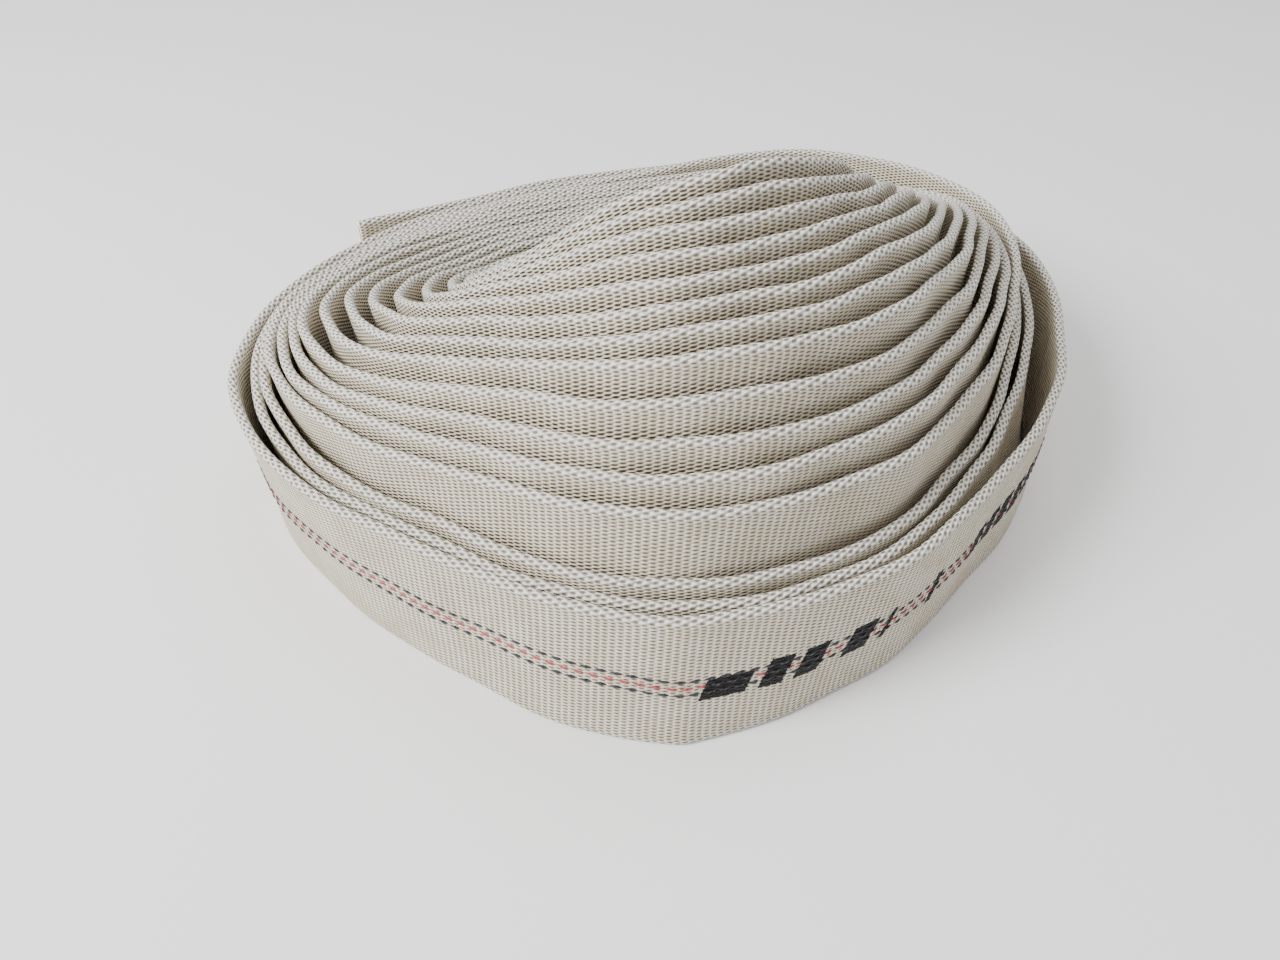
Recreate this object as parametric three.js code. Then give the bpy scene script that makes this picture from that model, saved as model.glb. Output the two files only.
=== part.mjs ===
// A lay-flat fire hose, wound flat into a roll that stands on the edge of the flat hose.
// Millimetres, +Z up. The origin is on the floor, at the middle of the roll's footprint.
// The hose is wound clockwise seen from above, from its outer end to its inner end. A place
// along it is given in turns: 0 is the outer end and each whole turn goes once round.

import * as THREE from 'three';

// The flat hose: a woven jacket tube with a thin rubber lining tube pressed flat inside it.
const FLAT_WIDTH = 42;
const FLAT_THICKNESS = 2.2;
const WALL = 0.65;
const FOLD = 1.2;
const LINING_WIDTH = 38.8;
const LINING_THICKNESS = 0.3;

// The three tracer yarns run along the jacket's outer face, a little below its middle.
const TRACER_HEIGHT = 20;
const TRACER_WIDTH = 1.2;
const TRACER_THICKNESS = 0.3;
const TRACER_SPACING = 2.3;
const TRACER_CLEARANCE = 0.3;

// The roll, seen from above: its centre, and its radius every 30 degrees from the outer end.
const CENTRE_X = -5.96;
const CENTRE_Y = -14.48;
const OUTER_END_ANGLE = 150;
const OUTLINE = [112, 109, 119, 148, 140, 112, 101, 104, 105, 100, 109, 116];
const FIRST_TURN = 0.012;
const WOUND_TURNS = 21;
const FIRST_PITCH = 0.0305;
const PITCH_GROWTH = 0.0006;

// The outer turn springs away from the roll at its cut end, and hangs loose to the right and
// to the left. Widths are in turns.
const END_SLACK = { turn: 0, width: 0.035, gap: 9 };
const RIGHT_SLACK = { turn: 0.42, width: 0.09, gap: 7 };
const LEFT_SLACK = { turn: 0.875, width: 0.06, gap: 3 };

// The middle turns crowd towards the left of the roll, and the next ones in are drawn away
// from it. A swell is [turn, outward shift in mm].
const SWELLS = [[0, 0], [1, 0], [7, 6], [8, 4], [13, -5], [17, 0], [21, 0]];
const SWELL_DIRECTION = 0.9;
const SWELL_WIDTH = 0.12;

// The inner turns have been pushed up out of the roll. A climb is [turn, height in mm].
const CLIMBS = [[0, 0], [2.2, 0], [2.75, 3], [3.7, 20], [5.7, 31], [6.7, 38], [7.7, 45],
  [10, 53], [12, 59], [14.7, 66], [16, 56], [21, 25]];
// The share of the climb reached in each direction, every 30 degrees from the outer end.
const CLIMB_SHARES = [0.12, 0.08, 0.06, 0.12, 0.5, 0.8, 0.97, 1.05, 1, 0.78, 0.52, 0.28];
const LEVEL_FROM_TURN = 16;
// One turn stands up above the rest along the back.
const RIM = { turn: 3.3, width: 0.12, rise: 8 };

const STEPS_PER_TURN = 24;

function smooth(value) {
  const x = Math.min(Math.max(value, 0), 1);
  return x * x * (3 - 2 * x);
}

// A value from a ring of values, with a smooth curve through them all.
function around(ring, turn) {
  const place = (turn - Math.floor(turn)) * ring.length;
  const i = Math.floor(place);
  const f = place - i;
  const n = ring.length;
  const [a, b, c, d] = [ring[(i + n - 1) % n], ring[i % n], ring[(i + 1) % n], ring[(i + 2) % n]];
  return b + 0.5 * f * (c - a + f * (2 * a - 5 * b + 4 * c - d + f * (3 * (b - c) + d - a)));
}

// A value from a list of [turn, value], with straight lines between them.
function along(list, turn) {
  const i = Math.max(1, list.findIndex(([last]) => turn <= last));
  const [t0, v0] = list[i - 1];
  const [t1, v1] = list[i];
  return v0 + ((v1 - v0) * (turn - t0)) / (t1 - t0);
}

function slackAt(turn, slack, lastTurn) {
  const away = (turn - slack.turn) / slack.width;
  return slack.gap * Math.exp(-away * away) * smooth((lastTurn - turn) / 0.5);
}

function swellAt(turn) {
  const away = turn - SWELL_DIRECTION - Math.round(turn - SWELL_DIRECTION);
  return along(SWELLS, turn) * Math.exp(-((away / SWELL_WIDTH) ** 2));
}

function radiusAt(turn) {
  const wound = around(OUTLINE, turn) * (1 - FIRST_PITCH * turn - PITCH_GROWTH * turn * turn);
  const loose = slackAt(turn, END_SLACK, 0.5) + slackAt(turn, RIGHT_SLACK, 0.95);
  return wound + loose + slackAt(turn, LEFT_SLACK, 1.25) + swellAt(turn);
}

function climbAt(turn) {
  const level = Math.max(0, (turn - LEVEL_FROM_TURN) / (WOUND_TURNS - LEVEL_FROM_TURN));
  const share = around(CLIMB_SHARES, turn) * (1 - level) + level;
  const away = (turn - RIM.turn) / RIM.width;
  return share * along(CLIMBS, turn) + RIM.rise * Math.exp(-away * away);
}

function pointAt(turn) {
  const angle = THREE.MathUtils.degToRad(OUTER_END_ANGLE - 360 * turn);
  const r = radiusAt(turn);
  return { x: CENTRE_X + r * Math.cos(angle), y: CENTRE_Y + r * Math.sin(angle), z: climbAt(turn) };
}

// The hose's outward direction in the horizontal plane, square to its run.
function outwardAt(turn) {
  const back = pointAt(turn - 0.01);
  const on = pointAt(turn + 0.01);
  const length = Math.hypot(on.x - back.x, on.y - back.y);
  return { x: (back.y - on.y) / length, y: (on.x - back.x) / length };
}

// Triangles that fill the first loop and leave the others open, as places in the whole section.
function endTriangles(loops) {
  const [outside, ...hollows] = loops.map((loop) => loop.map(([u, v]) => new THREE.Vector2(u, v)));
  return THREE.ShapeUtils.triangulateShape(outside, hollows);
}

// Sweeps closed loops of [outward, up] points along the hose, from its outer end. The first
// loop is the outside and a second one is a hollow. Both ends are cut square. Every sweep
// stops at the same places along the hose, so that the pieces keep their gaps.
function sweep(loops, lastTurn) {
  const steps = Math.floor((lastTurn - FIRST_TURN) * STEPS_PER_TURN);
  const section = loops.flat();
  const positions = [];
  for (let s = 0; s <= steps; s += 1) {
    const turn = FIRST_TURN + s / STEPS_PER_TURN;
    const p = pointAt(turn);
    const out = outwardAt(turn);
    for (const [u, v] of section) {
      positions.push(p.x + out.x * u, p.y + out.y * u, p.z + v);
    }
  }
  const indices = [];
  const size = section.length;
  let first = 0;
  for (const loop of loops) {
    for (let s = 0; s < steps; s += 1) {
      for (let i = 0; i < loop.length; i += 1) {
        const a = s * size + first + i;
        const b = s * size + first + ((i + 1) % loop.length);
        indices.push(a, b, a + size, b, b + size, a + size);
      }
    }
    first += loop.length;
  }
  for (const [a, b, c] of endTriangles(loops)) {
    indices.push(c, b, a, a + steps * size, b + steps * size, c + steps * size);
  }
  const geometry = new THREE.BufferGeometry();
  geometry.setAttribute('position', new THREE.Float32BufferAttribute(positions, 3));
  geometry.setIndex(indices);
  geometry.computeVertexNormals();
  return geometry;
}

// A rectangle of the given size about (u, v), anticlockwise seen along the hose.
function rectangle(u, v, thickness, width) {
  const [a, b] = [thickness / 2, width / 2];
  return [[u - a, v - b], [u + a, v - b], [u + a, v + b], [u - a, v + b]];
}

function addMesh(group, name, geometry, colour, roughness) {
  const material = new THREE.MeshStandardMaterial({ color: colour, roughness, metalness: 0 });
  const mesh = new THREE.Mesh(geometry, material);
  mesh.name = name;
  group.add(mesh);
}

// The jacket is one flat tube, open at both of its cut ends.
function jacket() {
  const outside = rectangle(0, FLAT_WIDTH / 2, FLAT_THICKNESS, FLAT_WIDTH);
  const hollow = rectangle(0, FLAT_WIDTH / 2, FLAT_THICKNESS - 2 * WALL, FLAT_WIDTH - 2 * FOLD);
  return sweep([outside, hollow.reverse()], WOUND_TURNS);
}

function lining() {
  const flat = rectangle(0, FLAT_WIDTH / 2, LINING_THICKNESS, LINING_WIDTH);
  return sweep([flat], WOUND_TURNS);
}

// A tracer is drawn round the outer turn, where its face of the jacket can be seen.
function tracer(offset) {
  const outward = (FLAT_THICKNESS + TRACER_THICKNESS) / 2 + TRACER_CLEARANCE;
  const yarn = rectangle(outward, TRACER_HEIGHT + offset, TRACER_THICKNESS, TRACER_WIDTH);
  return sweep([yarn], 1);
}

const group = new THREE.Group();
addMesh(group, 'hose_jacket', jacket(), 0xd8d1c2, 0.85);
addMesh(group, 'hose_lining', lining(), 0x3a3632, 0.6);
addMesh(group, 'tracer_yarn_red', tracer(0), 0xa8333a, 0.8);
addMesh(group, 'tracer_yarn_black_upper', tracer(TRACER_SPACING), 0x26262a, 0.8);
addMesh(group, 'tracer_yarn_black_lower', tracer(-TRACER_SPACING), 0x26262a, 0.8);

export default group;
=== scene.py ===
import math

import bpy
import numpy as np
from mathutils import Matrix


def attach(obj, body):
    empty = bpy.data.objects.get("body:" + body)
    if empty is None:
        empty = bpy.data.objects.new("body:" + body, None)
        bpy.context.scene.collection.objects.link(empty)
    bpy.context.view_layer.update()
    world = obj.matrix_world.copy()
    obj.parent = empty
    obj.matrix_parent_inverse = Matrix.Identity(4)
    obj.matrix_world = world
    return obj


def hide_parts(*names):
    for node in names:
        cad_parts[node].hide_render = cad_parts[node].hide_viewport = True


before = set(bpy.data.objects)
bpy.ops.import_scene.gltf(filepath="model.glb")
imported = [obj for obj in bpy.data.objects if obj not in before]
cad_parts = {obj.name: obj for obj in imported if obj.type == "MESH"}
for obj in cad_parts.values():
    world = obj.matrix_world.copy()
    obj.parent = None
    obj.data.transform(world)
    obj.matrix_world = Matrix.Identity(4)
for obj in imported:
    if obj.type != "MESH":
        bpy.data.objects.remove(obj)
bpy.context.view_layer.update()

# Everything below is worked out in millimetres and turned to metres when a mesh is made.
MM = 0.001

# The flat hose. A place round its tube is a girth: 0 is the lower fold, then up the outer
# face to the upper fold, and down the inner face again.
FLAT_WIDTH = 42.0
FACE_HALF = 1.0
FOLD_HALF = 1.3
HOLLOW_HALF = 0.35
HOLLOW_HALF_WIDTH = 19.6
LINING_HALF = 0.15
LINING_HALF_WIDTH = 19.2
GIRTH = 86.0

# The roll, as the CAD has it: its centre, and its radius every 30 degrees clockwise from the
# outer end. A place along the hose is given in turns from the outer end.
CENTRE = (-5.96, -14.48)
OUTER_END_ANGLE = 150.0
OUTLINE = (112, 109, 119, 148, 140, 112, 101, 104, 105, 100, 109, 116)
FIRST_TURN = 0.012
WOUND_TURNS = 20.97
FIRST_PITCH = 0.0305
PITCH_GROWTH = 0.0006

# Each slack is (turn, width in turns, gap in mm, turn where it ends).
SLACKS = ((0.0, 0.035, 9.0, 0.5), (0.42, 0.09, 7.0, 0.95), (0.875, 0.06, 3.0, 1.25))

# The middle turns crowd to the left, and the next ones in are drawn away from it.
SWELLS = ((0, 0), (1, 0), (7, 6), (8, 4), (13, -5), (17, 0), (21, 0))
SWELL_DIRECTION = 0.9
SWELL_WIDTH = 0.12

# The inner turns have climbed out of the roll, most of all at the front.
CLIMBS = ((0, 0), (2.2, 0), (2.75, 3), (3.7, 20), (5.7, 31), (6.7, 38), (7.7, 45), (10, 53),
          (12, 59), (14.7, 66), (16, 56), (21, 25))
CLIMB_SHARES = (0.12, 0.08, 0.06, 0.12, 0.5, 0.8, 0.97, 1.05, 1.0, 0.78, 0.52, 0.28)
LEVEL_FROM_TURN = 16.0

# One turn stands up above the rest along the back: (turn, width in turns, rise in mm).
RIM = (3.3, 0.12, 8.0)

# How far the lower fold stands outside the upper one, every 30 degrees from the outer end.
LEANS = (-3, 0, 0, 0, -1, 0.5, -1.5, -2, 1, -1, -5, -3)
UPRIGHT_FROM_TURN = 4.0

# The second turn's lower fold flares out at the right, below the loose outer turn: (turn,
# width in turns, mm).
FLARE = (1.43, 0.1, 7.0)

# The sharp crease at the front of the outer turns.
CREASE_TURN = 0.652
CREASE_WIDTH = 0.012

# The weave: one pick of weft along the hose, and one warp yarn round the tube. Its columns
# slant a little, and twist like a rope along the folds, in radians per mm of girth.
PICK = 1.7
WARP = 1.1
COLUMN_SLANT = 0.04
FOLD_TWIST = 0.9

# How far apart the stations of the swept tubes are.
JACKET_STEP = 2.5
LINING_STEP = 5.0

TRACER_HEIGHT = 20.0
TRACER_SPACING = 2.3
TRACER_START = 3.0
TRACER_LAST_TURN = 1.0
YARN_SIDES = 6
YARN_HALF = 0.2

CAMERA_AT = (-7.5, -255.5, 198.8)
CAMERA_DOWN = math.radians(41.0)
CAMERA_ROLL = math.radians(1.61)


def smooth(value):
    x = np.clip(value, 0.0, 1.0)
    return x * x * (3.0 - 2.0 * x)


def around(ring, turn):
    """A value from a ring of values, with a smooth curve through them all."""
    values = np.array(ring, float)
    count = len(values)
    at = (turn % 1.0) * count
    i = np.floor(at).astype(int)
    f = at - i
    a, b = values[(i - 1) % count], values[i % count]
    c, d = values[(i + 1) % count], values[(i + 2) % count]
    return b + 0.5 * f * (c - a + f * (2 * a - 5 * b + 4 * c - d + f * (3 * (b - c) + d - a)))


def along(pairs, turn):
    return np.interp(turn, [t for t, _ in pairs], [v for _, v in pairs])


def radius_at(turn):
    r = around(OUTLINE, turn) * (1.0 - FIRST_PITCH * turn - PITCH_GROWTH * turn * turn)
    for loosest, width, gap, last in SLACKS:
        slack = gap * np.exp(-(((turn - loosest) / width) ** 2))
        r = r + slack * smooth((last - turn) / 0.5)
    away = turn - SWELL_DIRECTION - np.round(turn - SWELL_DIRECTION)
    return r + along(SWELLS, turn) * np.exp(-((away / SWELL_WIDTH) ** 2))


def climb_at(turn):
    level = np.clip((turn - LEVEL_FROM_TURN) / (WOUND_TURNS - LEVEL_FROM_TURN), 0.0, 1.0)
    share = around(CLIMB_SHARES, turn) * (1.0 - level) + level
    highest, width, rise = RIM
    return share * along(CLIMBS, turn) + rise * np.exp(-(((turn - highest) / width) ** 2))


def plan_at(turn):
    angle = np.radians(OUTER_END_ANGLE - 360.0 * turn)
    r = radius_at(turn)
    return CENTRE[0] + r * np.cos(angle), CENTRE[1] + r * np.sin(angle)


def outward_at(turn):
    x0, y0 = plan_at(turn - 0.003)
    x1, y1 = plan_at(turn + 0.003)
    length = np.hypot(x1 - x0, y1 - y0)
    return (y0 - y1) / length, (x1 - x0) / length


def lean_at(turn):
    upright = np.clip((turn - UPRIGHT_FROM_TURN) / (WOUND_TURNS - UPRIGHT_FROM_TURN), 0.0, 1.0)
    widest, width, outward = FLARE
    flare = outward * np.exp(-(((turn - widest) / width) ** 2))
    return around(LEANS, turn) * (1.0 - upright) + flare


def ripple_at(turn, height):
    """Small waves of the faces, in mm outwards."""
    wave = 0.22 * np.sin(2 * np.pi * 9.3 * turn + 1.1) + 0.16 * np.sin(2 * np.pi * 21.7 * turn)
    skew = 0.18 * np.sin(2 * np.pi * 13.1 * turn + height / 9.0)
    return wave + skew


def rise_at(turn):
    """Small waves of the folds, in mm upwards, on the turns that have climbed."""
    loose = smooth((turn - 2.0) / 1.5)
    wave = 0.5 * np.sin(2 * np.pi * 3.17 * turn + 0.4) + 0.3 * np.sin(2 * np.pi * 7.9 * turn)
    return loose * (wave + 0.9)


def crease_at(turn, height):
    """The outer turns stand out in a sharp fold at the front, most of all at the floor."""
    near = np.exp(-np.abs((turn % 1.0 - CREASE_TURN) / CREASE_WIDTH)) * smooth((2.4 - turn) / 2.0)
    return near * 1.5 * (1.0 - height / FLAT_WIDTH)


def crumple_at(turn, height):
    """The upper fold of the outer turn is crushed down beside the crease."""
    near = np.exp(-(((turn - CREASE_TURN - 0.008) / 0.018) ** 2))
    return -0.5 * near * smooth(height / FLAT_WIDTH)


def place(turn, outward, height):
    """The point that far outwards from the hose's middle surface and that far up its face."""
    x, y = plan_at(turn)
    ox, oy = outward_at(turn)
    shift = outward + lean_at(turn) * (1.0 - height / FLAT_WIDTH)
    shift = shift + ripple_at(turn, height) + crease_at(turn, height)
    z = climb_at(turn) + rise_at(turn) + height + crumple_at(turn, height)
    return np.stack([x + ox * shift, y + oy * shift, z], axis=-1)


TURN_SAMPLES = np.linspace(FIRST_TURN, WOUND_TURNS, 20001)
TURN_X, TURN_Y = plan_at(TURN_SAMPLES)
DISTANCES = np.concatenate([[0.0], np.cumsum(np.hypot(np.diff(TURN_X), np.diff(TURN_Y)))])
HOSE_LENGTH = float(DISTANCES[-1])


def turn_at(distance):
    return np.interp(distance, DISTANCES, TURN_SAMPLES)


def distance_at(turn):
    return np.interp(turn, TURN_SAMPLES, DISTANCES)


def new_object(name, points, faces, uvs, material):
    """A mesh object in metres, with a uv pair in mm for every corner of every face."""
    mesh = bpy.data.meshes.new(name)
    mesh.from_pydata((np.asarray(points) * MM).tolist(), [], faces)
    layer = mesh.uv_layers.new(name="weave")
    layer.data.foreach_set("uv", np.asarray(uvs, float).ravel())
    mesh.polygons.foreach_set("use_smooth", [True] * len(mesh.polygons))
    mesh.materials.append(material)
    mesh.update()
    obj = bpy.data.objects.new(name, mesh)
    bpy.context.scene.collection.objects.link(obj)
    return obj


def fold_section():
    """The jacket's outside as (outward, height, girth), from the lower fold round by the
    outer face."""
    points = []
    for step in range(-3, 4):
        a = math.radians(step * 28.0)
        points.append((FOLD_HALF * math.sin(a), FOLD_HALF * (1.0 - math.cos(a)), step * 0.45))
    faces = [(4.0, 1.16), (7.0, 1.02), (13.0, FACE_HALF), (21.0, FACE_HALF), (29.0, FACE_HALF),
             (35.0, 1.02), (38.0, 1.16)]
    outer = [(half, height, height + 0.5) for height, half in faces]
    upper = [(u, FLAT_WIDTH - v, GIRTH / 2 - g) for u, v, g in reversed(points)]
    inner = [(-half, height, GIRTH - height - 0.5) for height, half in reversed(faces)]
    return points + outer + upper + inner


def rectangle(half, half_width):
    middle = FLAT_WIDTH / 2
    low, high = middle - half_width, middle + half_width
    return [(half, low, 0.0), (half, high, 0.0), (-half, high, 0.0), (-half, low, 0.0)]


def sweep(loops, distances):
    """Points, faces and uvs of closed section loops swept along the hose. A second loop is a
    hollow that is open at both ends."""
    turns = turn_at(distances)
    points, faces, uvs = [], [], []
    first = 0
    for number, loop in enumerate(loops):
        count = len(loop)
        rows = np.stack([place(turns, np.full_like(turns, u), np.full_like(turns, v))
                         for u, v, _ in loop], axis=1)
        points.append(rows.reshape(-1, 3))
        girths = [g for _, _, g in loop] + [loop[0][2] + GIRTH]
        for s in range(len(turns) - 1):
            for i in range(count):
                a = first + s * count + i
                b = first + s * count + (i + 1) % count
                quad = (a, b, b + count, a + count)
                corners = ((s, i), (s, i + 1), (s + 1, i + 1), (s + 1, i))
                if number:
                    quad, corners = quad[::-1], corners[::-1]
                faces.append(quad)
                uvs.extend((distances[k], girths[j]) for k, j in corners)
        first += len(turns) * count
    return np.concatenate(points), faces, uvs


def close_ends(loops, stations, faces, uvs):
    """Square cut ends: a ring between the two loops, or one flat face where there is one."""
    starts = [0]
    for loop in loops:
        starts.append(starts[-1] + stations * len(loop))
    for end in (0, stations - 1):
        outer = [starts[0] + end * len(loops[0]) + i for i in range(len(loops[0]))]
        if len(loops) == 1:
            ring = outer[::-1] if end == 0 else outer
            faces.append(tuple(ring))
            uvs.extend([(0.0, 0.0)] * len(ring))
            continue
        inner = [starts[1] + end * len(loops[1]) + i for i in range(len(loops[1]))]
        for quad in bridge(loops[0], loops[1], outer, inner):
            faces.append(quad[::-1] if end == 0 else quad)
            uvs.extend([(0.0, 0.0)] * len(quad))


def bridge(outside, hollow, outer, inner):
    """Faces between two loops, each outer edge going to the nearest corner of the hollow."""
    def nearest(i):
        u, v, _ = outside[i % len(outside)]
        return min(range(len(hollow)),
                   key=lambda k: math.hypot(hollow[k][0] - u, hollow[k][1] - v))

    quads = []
    for i in range(len(outer)):
        j = (i + 1) % len(outer)
        a, b = nearest(i), nearest(j)
        if a == b:
            quads.append((outer[i], outer[j], inner[a]))
        else:
            quads.append((outer[i], outer[j], inner[b], inner[a]))
    return quads


def node_tree(name):
    material = bpy.data.materials.new(name)
    material.use_nodes = True
    tree = material.node_tree
    return material, tree, tree.nodes["Principled BSDF"]


class Maths:
    """Short names for the arithmetic nodes of one node tree."""

    def __init__(self, tree):
        self.tree = tree

    def do(self, operation, *values):
        node = self.tree.nodes.new("ShaderNodeMath")
        node.operation = operation
        for socket, value in zip(node.inputs, values):
            if isinstance(value, (int, float)):
                socket.default_value = value
            else:
                self.tree.links.new(value, socket)
        return node.outputs[0]

    def add(self, a, b):
        return self.do("ADD", a, b)

    def sub(self, a, b):
        return self.do("SUBTRACT", a, b)

    def mul(self, a, b):
        return self.do("MULTIPLY", a, b)

    def step(self, value, low, high):
        """0 below low and 1 above high, with a smooth rise between."""
        node = self.tree.nodes.new("ShaderNodeMapRange")
        node.interpolation_type = "SMOOTHSTEP"
        node.inputs["From Min"].default_value = low
        node.inputs["From Max"].default_value = high
        self.tree.links.new(value, node.inputs["Value"])
        return node.outputs["Result"]

    def noise(self, vector, scale, detail=2.0):
        node = self.tree.nodes.new("ShaderNodeTexNoise")
        node.inputs["Scale"].default_value = scale
        node.inputs["Detail"].default_value = detail
        self.tree.links.new(vector, node.inputs["Vector"])
        return node.outputs["Fac"]

    def mix(self, factor, a, b):
        node = self.tree.nodes.new("ShaderNodeMix")
        node.data_type = "RGBA"
        if isinstance(factor, (int, float)):
            node.inputs["Factor"].default_value = factor
        else:
            self.tree.links.new(factor, node.inputs["Factor"])
        for socket, value in ((node.inputs["A"], a), (node.inputs["B"], b)):
            if isinstance(value, tuple):
                socket.default_value = (*value, 1.0)
            else:
                self.tree.links.new(value, socket)
        return node.outputs["Result"]

    def bump(self, height, distance, strength=1.0):
        node = self.tree.nodes.new("ShaderNodeBump")
        node.inputs["Distance"].default_value = distance
        node.inputs["Strength"].default_value = strength
        self.tree.links.new(height, node.inputs["Height"])
        return node.outputs["Normal"]


def hose_place(tree):
    """The distance along the hose and the girth round it, in mm, and both as a vector."""
    node = tree.nodes.new("ShaderNodeUVMap")
    node.uv_map = "weave"
    parts = tree.nodes.new("ShaderNodeSeparateXYZ")
    tree.links.new(node.outputs["UV"], parts.inputs["Vector"])
    return parts.outputs["X"], parts.outputs["Y"], node.outputs["UV"]


def fold_offset(maths, girth):
    """How far past the nearer fold's middle line, in mm of girth."""
    half = GIRTH / 2
    wrapped = maths.do("MODULO", maths.add(girth, half / 2 + GIRTH), half)
    return maths.sub(wrapped, half / 2)


def weave_height(maths, run, girth, twist):
    """Warp yarns standing over every second pick, in staggered columns, from 0 to 1."""
    columns = maths.add(maths.mul(run, math.pi / PICK), maths.mul(girth, COLUMN_SLANT))
    across = maths.do("COSINE", maths.add(columns, twist))
    up = maths.do("COSINE", maths.mul(girth, 2 * math.pi / WARP))
    return maths.add(maths.mul(maths.mul(across, up), 0.5), 0.5)


# The printed size marking is replaced by plain slanted blocks: (start, length, low edge,
# height) in mm, along the hose from the marking's own end and up the face.
INK = (0.003, 0.003, 0.004)
INK_EDGE = 0.15
PRINT_TURN = 0.456
PRINT_SLANT = 0.3
PRINT_RAGGED = 1.1
PRINT_BLOCKS = ((0.0, 5.5, 15.5, 9.5), (8.0, 6.0, 15.5, 9.5), (16.0, 6.0, 15.5, 9.5),
                (24.0, 5.5, 15.5, 9.5), (32.0, 6.0, 15.5, 9.5), (55.5, 3.0, 15.5, 9.5),
                (74.0, 2.0, 15.5, 9.5), (80.0, 7.5, 15.5, 9.5), (94.2, 6.5, 15.5, 9.5),
                (103.5, 6.0, 15.5, 9.5), (112.4, 11.0, 15.5, 7.0))


def print_mask(maths, run, girth, grain):
    """1 where there is ink. The grain, a noise, makes its edges ragged."""
    start = float(distance_at(PRINT_TURN))
    ragged = maths.mul(maths.sub(grain, 0.5), PRINT_RAGGED)
    mask = None
    v = maths.add(girth, ragged)
    slant = maths.mul(maths.sub(girth, TRACER_HEIGHT), PRINT_SLANT)
    u = maths.add(maths.add(maths.sub(run, start), ragged), slant)
    for begin, length, low, height in PRINT_BLOCKS:
        du = maths.do("ABSOLUTE", maths.sub(u, begin + length / 2))
        dv = maths.do("ABSOLUTE", maths.sub(v, low + height / 2))
        inside = maths.do("MAXIMUM", maths.sub(du, length / 2), maths.sub(dv, height / 2))
        inked = maths.sub(1.0, maths.step(inside, -INK_EDGE, INK_EDGE))
        mask = inked if mask is None else maths.do("MAXIMUM", mask, inked)
    return mask


def jacket_material():
    material, tree, shader = node_tree("woven jacket")
    maths = Maths(tree)
    run, girth, vector = hose_place(tree)
    offset = fold_offset(maths, girth)
    fold = maths.sub(1.0, maths.step(maths.do("ABSOLUTE", offset), 0.6, 2.6))
    twist = maths.mul(maths.mul(offset, fold), FOLD_TWIST)
    height = weave_height(maths, run, girth, twist)
    patches = maths.noise(vector, 0.11, 3.0)
    speckle = maths.noise(vector, 1.7, 1.0)
    yarn = maths.mix(maths.step(patches, 0.35, 0.65), (0.75, 0.67, 0.52), (0.83, 0.76, 0.62))
    # Painted highlight: the yarn is painted paler near the folds, where the folded edges catch
    # the light.
    yarn = maths.mix(fold, yarn, (0.93, 0.90, 0.83))
    # Painted shade: the gaps between the raised yarns are painted dark brown, and less dark at
    # the folds, where the painted fold highlight lifts them.
    gap = maths.mix(fold, (0.12, 0.09, 0.055), (0.22, 0.185, 0.13))
    # The low places of the weave take the painted shade and the raised yarns take the yarn
    # colour.
    colour = maths.mix(maths.step(height, 0.04, 0.56), gap, yarn)
    colour = maths.mix(print_mask(maths, run, girth, speckle), colour, INK)
    tree.links.new(colour, shader.inputs["Base Color"])
    shader.inputs["Roughness"].default_value = 0.75
    shader.inputs["Specular IOR Level"].default_value = 0.3
    relief = maths.mul(height, maths.add(maths.mul(fold, 0.6), 1.0))
    relief = maths.add(relief, maths.mul(speckle, 0.25))
    tree.links.new(maths.bump(relief, 0.0006), shader.inputs["Normal"])
    return material


def lining_material():
    material, tree, shader = node_tree("rubber lining")
    maths = Maths(tree)
    _, _, vector = hose_place(tree)
    grain = maths.noise(vector, 0.9, 4.0)
    colour = maths.mix(grain, (0.035, 0.03, 0.028), (0.075, 0.068, 0.06))
    tree.links.new(colour, shader.inputs["Base Color"])
    shader.inputs["Roughness"].default_value = 0.55
    tree.links.new(maths.bump(grain, 0.00008), shader.inputs["Normal"])
    return material


def yarn_material(name, dark, light):
    material, tree, shader = node_tree(name)
    maths = Maths(tree)
    run, girth, vector = hose_place(tree)
    strands = maths.do("SINE", maths.add(maths.mul(girth, 7.0), maths.mul(run, 5.0)))
    fluff = maths.noise(vector, 2.3, 2.0)
    colour = maths.mix(maths.add(maths.mul(strands, 0.25), fluff), dark, light)
    colour = maths.mix(print_mask(maths, run, girth, fluff), colour, INK)
    tree.links.new(colour, shader.inputs["Base Color"])
    shader.inputs["Roughness"].default_value = 0.8
    shader.inputs["Sheen Weight"].default_value = 0.2
    tree.links.new(maths.bump(maths.add(strands, fluff), 0.00006), shader.inputs["Normal"])
    return material


def finish_piece(obj, node):
    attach(obj, "root")
    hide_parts(node)
    return obj


def make_jacket():
    hollow = rectangle(HOLLOW_HALF, HOLLOW_HALF_WIDTH)
    loops = [fold_section(), hollow]
    distances = np.linspace(0.0, HOSE_LENGTH, int(HOSE_LENGTH / JACKET_STEP))
    points, faces, uvs = sweep(loops, distances)
    close_ends(loops, len(distances), faces, uvs)
    jacket = new_object("hose_jacket_woven", points, faces, uvs, jacket_material())
    return finish_piece(jacket, "hose_jacket")


def make_lining():
    loops = [rectangle(LINING_HALF, LINING_HALF_WIDTH)]
    distances = np.linspace(0.0, HOSE_LENGTH, int(HOSE_LENGTH / LINING_STEP))
    points, faces, uvs = sweep(loops, distances)
    close_ends(loops, len(distances), faces, uvs)
    lining = new_object("hose_lining_tube", points, faces, uvs, lining_material())
    return finish_piece(lining, "hose_lining")


def tracer_shift(distance):
    """How far the tracers shift up the face as they pass the crease, in mm."""
    return 1.4 * smooth((distance - distance_at(CREASE_TURN)) / 14.0)


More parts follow.
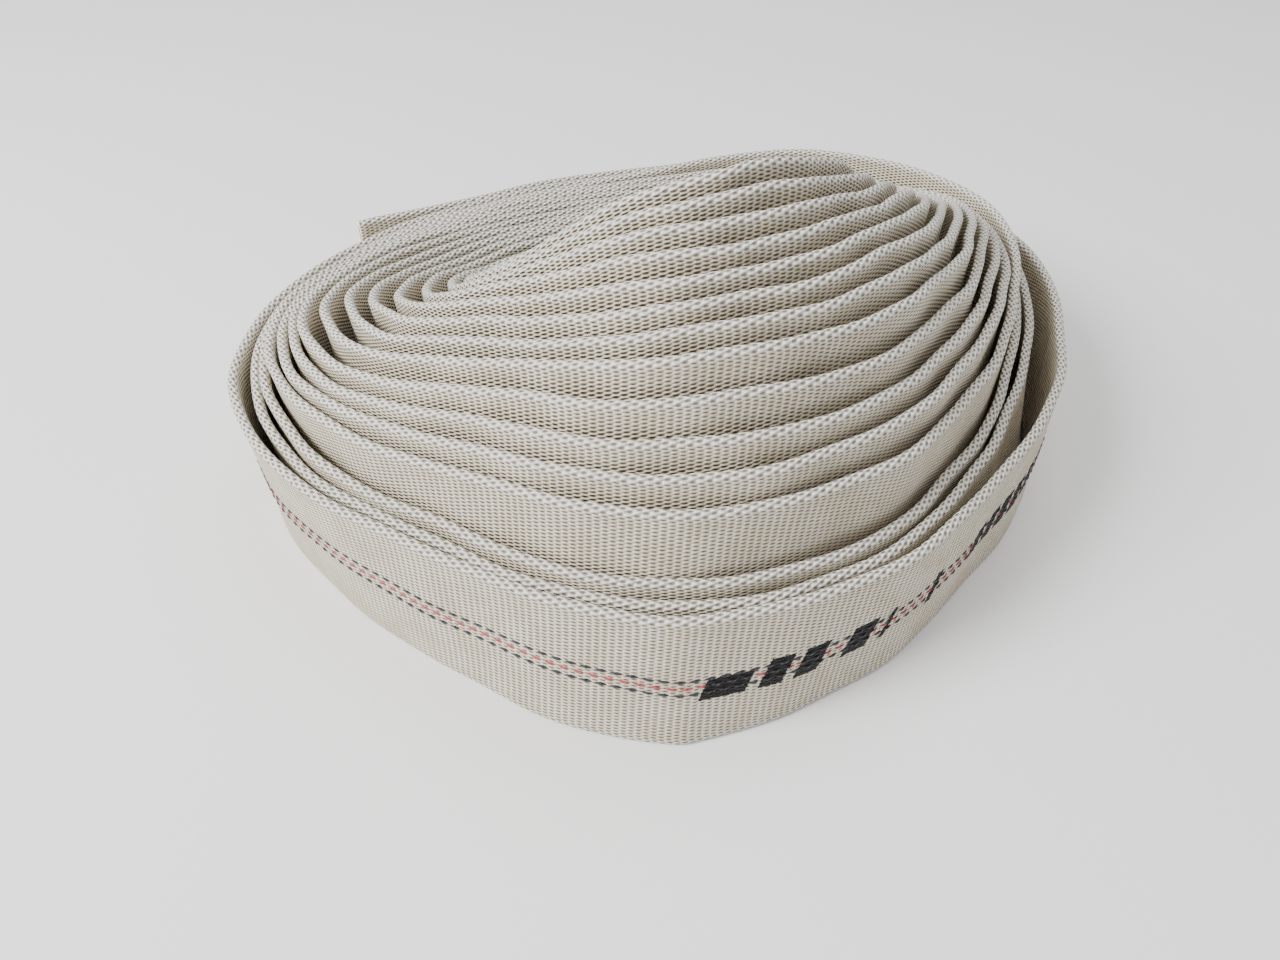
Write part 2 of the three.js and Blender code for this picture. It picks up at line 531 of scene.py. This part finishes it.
def make_tracer(name, offset, phase, material, node):
    """One yarn that comes up through the weave over every second pick."""
    distances = np.arange(TRACER_START, distance_at(TRACER_LAST_TURN), PICK / 4)
    turns = turn_at(distances)
    lift = np.cos(np.pi * (distances / PICK + phase))
    height = TRACER_HEIGHT + offset + tracer_shift(distances)
    width = 0.34 + 0.12 * lift
    points, faces, uvs, girths = [], [], [], []
    ring = YARN_SIDES
    for i in range(ring):
        a = 2 * math.pi * i / ring
        out = FACE_HALF - 0.02 + YARN_HALF * lift + YARN_HALF * math.sin(a)
        points.append(place(turns, out, height + width * math.cos(a)))
        girths.append(TRACER_HEIGHT + offset + 2 * YARN_HALF * math.cos(a))
    points = np.stack(points, axis=1).reshape(-1, 3)
    for s in range(len(turns) - 1):
        for i in range(ring):
            j = (i + 1) % ring
            a, b = s * ring + i, s * ring + j
            faces.append((b, a, a + ring, b + ring))
            uvs.extend([(distances[s], girths[j]), (distances[s], girths[i]),
                        (distances[s + 1], girths[i]), (distances[s + 1], girths[j])])
    last = (len(turns) - 1) * ring
    faces.append(tuple(range(ring)))
    faces.append(tuple(last + i for i in reversed(range(ring))))
    uvs.extend([(0.0, 0.0)] * (2 * ring))
    return finish_piece(new_object(name, points, faces, uvs, material), node)


def make_camera():
    data = bpy.data.cameras.new("camera")
    data.sensor_width = 36.0
    data.lens = 28.125
    camera = bpy.data.objects.new("camera", data)
    bpy.context.scene.collection.objects.link(camera)
    tilt = Matrix.Rotation(math.pi / 2 - CAMERA_DOWN, 4, "X")
    roll = Matrix.Rotation(CAMERA_ROLL, 4, "Z")
    camera.matrix_world = Matrix.Translation([c * MM for c in CAMERA_AT]) @ tilt @ roll
    bpy.context.scene.camera = camera


def plain_material(name, colour, roughness):
    material, tree, shader = node_tree(name)
    maths = Maths(tree)
    coordinates = tree.nodes.new("ShaderNodeTexCoord")
    mottle = maths.noise(coordinates.outputs["Object"], 3.0)
    lighter = tuple(min(1.0, c * 1.02) for c in colour)
    tree.links.new(maths.mix(mottle, colour, lighter), shader.inputs["Base Color"])
    shader.inputs["Roughness"].default_value = roughness
    return material


def make_floor():
    """A pale floor that curves up into a backdrop."""
    profile = [(-3.0, 0.0), (2.0, 0.0)]
    for step in range(1, 9):
        a = math.radians(step * 90.0 / 8)
        profile.append((2.0 + math.sin(a), 1.0 - math.cos(a)))
    profile.append((3.0, 4.0))
    points, faces = [], []
    for y, z in profile:
        points.extend([(-4.0, y, z), (4.0, y, z)])
    for i in range(len(profile) - 1):
        faces.append((2 * i, 2 * i + 1, 2 * i + 3, 2 * i + 2))
    mesh = bpy.data.meshes.new("floor")
    mesh.from_pydata(points, [], faces)
    mesh.materials.append(plain_material("studio floor", (0.95, 0.95, 0.95), 0.9))
    floor = bpy.data.objects.new("floor", mesh)
    bpy.context.scene.collection.objects.link(floor)
    floor.location.z = -0.0002


def add_light(name, size, power, at, towards):
    data = bpy.data.lights.new(name, "AREA")
    data.shape = "DISK"
    data.size = size
    data.energy = power
    light = bpy.data.objects.new(name, data)
    bpy.context.scene.collection.objects.link(light)
    direction = Matrix.Translation(at).translation - Matrix.Translation(towards).translation
    turn = direction.to_track_quat("Z", "Y").to_matrix().to_4x4()
    light.matrix_world = Matrix.Translation(at) @ turn


def make_lights():
    add_light("key", 0.6, 25.0, (-0.85, -0.5, 0.85), (0.0, 0.0, 0.05))
    add_light("fill", 1.0, 6.0, (0.3, 0.3, 1.2), (0.0, 0.0, 0.05))
    world = bpy.data.worlds.new("studio")
    world.use_nodes = True
    background = world.node_tree.nodes["Background"]
    background.inputs["Color"].default_value = (1.0, 1.0, 1.0, 1.0)
    background.inputs["Strength"].default_value = 0.62
    bpy.context.scene.world = world


make_camera()
jacket = make_jacket()
make_lining()
RED = yarn_material("red tracer yarn", (0.33, 0.03, 0.035), (0.52, 0.09, 0.10))
BLACK = yarn_material("black tracer yarn", (0.012, 0.012, 0.016), (0.04, 0.04, 0.05))
make_tracer("tracer_red", 0.0, 0.0, RED, "tracer_yarn_red")
make_tracer("tracer_black_upper", TRACER_SPACING, 1.0, BLACK, "tracer_yarn_black_upper")
make_tracer("tracer_black_lower", -TRACER_SPACING, 1.0, BLACK, "tracer_yarn_black_lower")
make_floor()
make_lights()
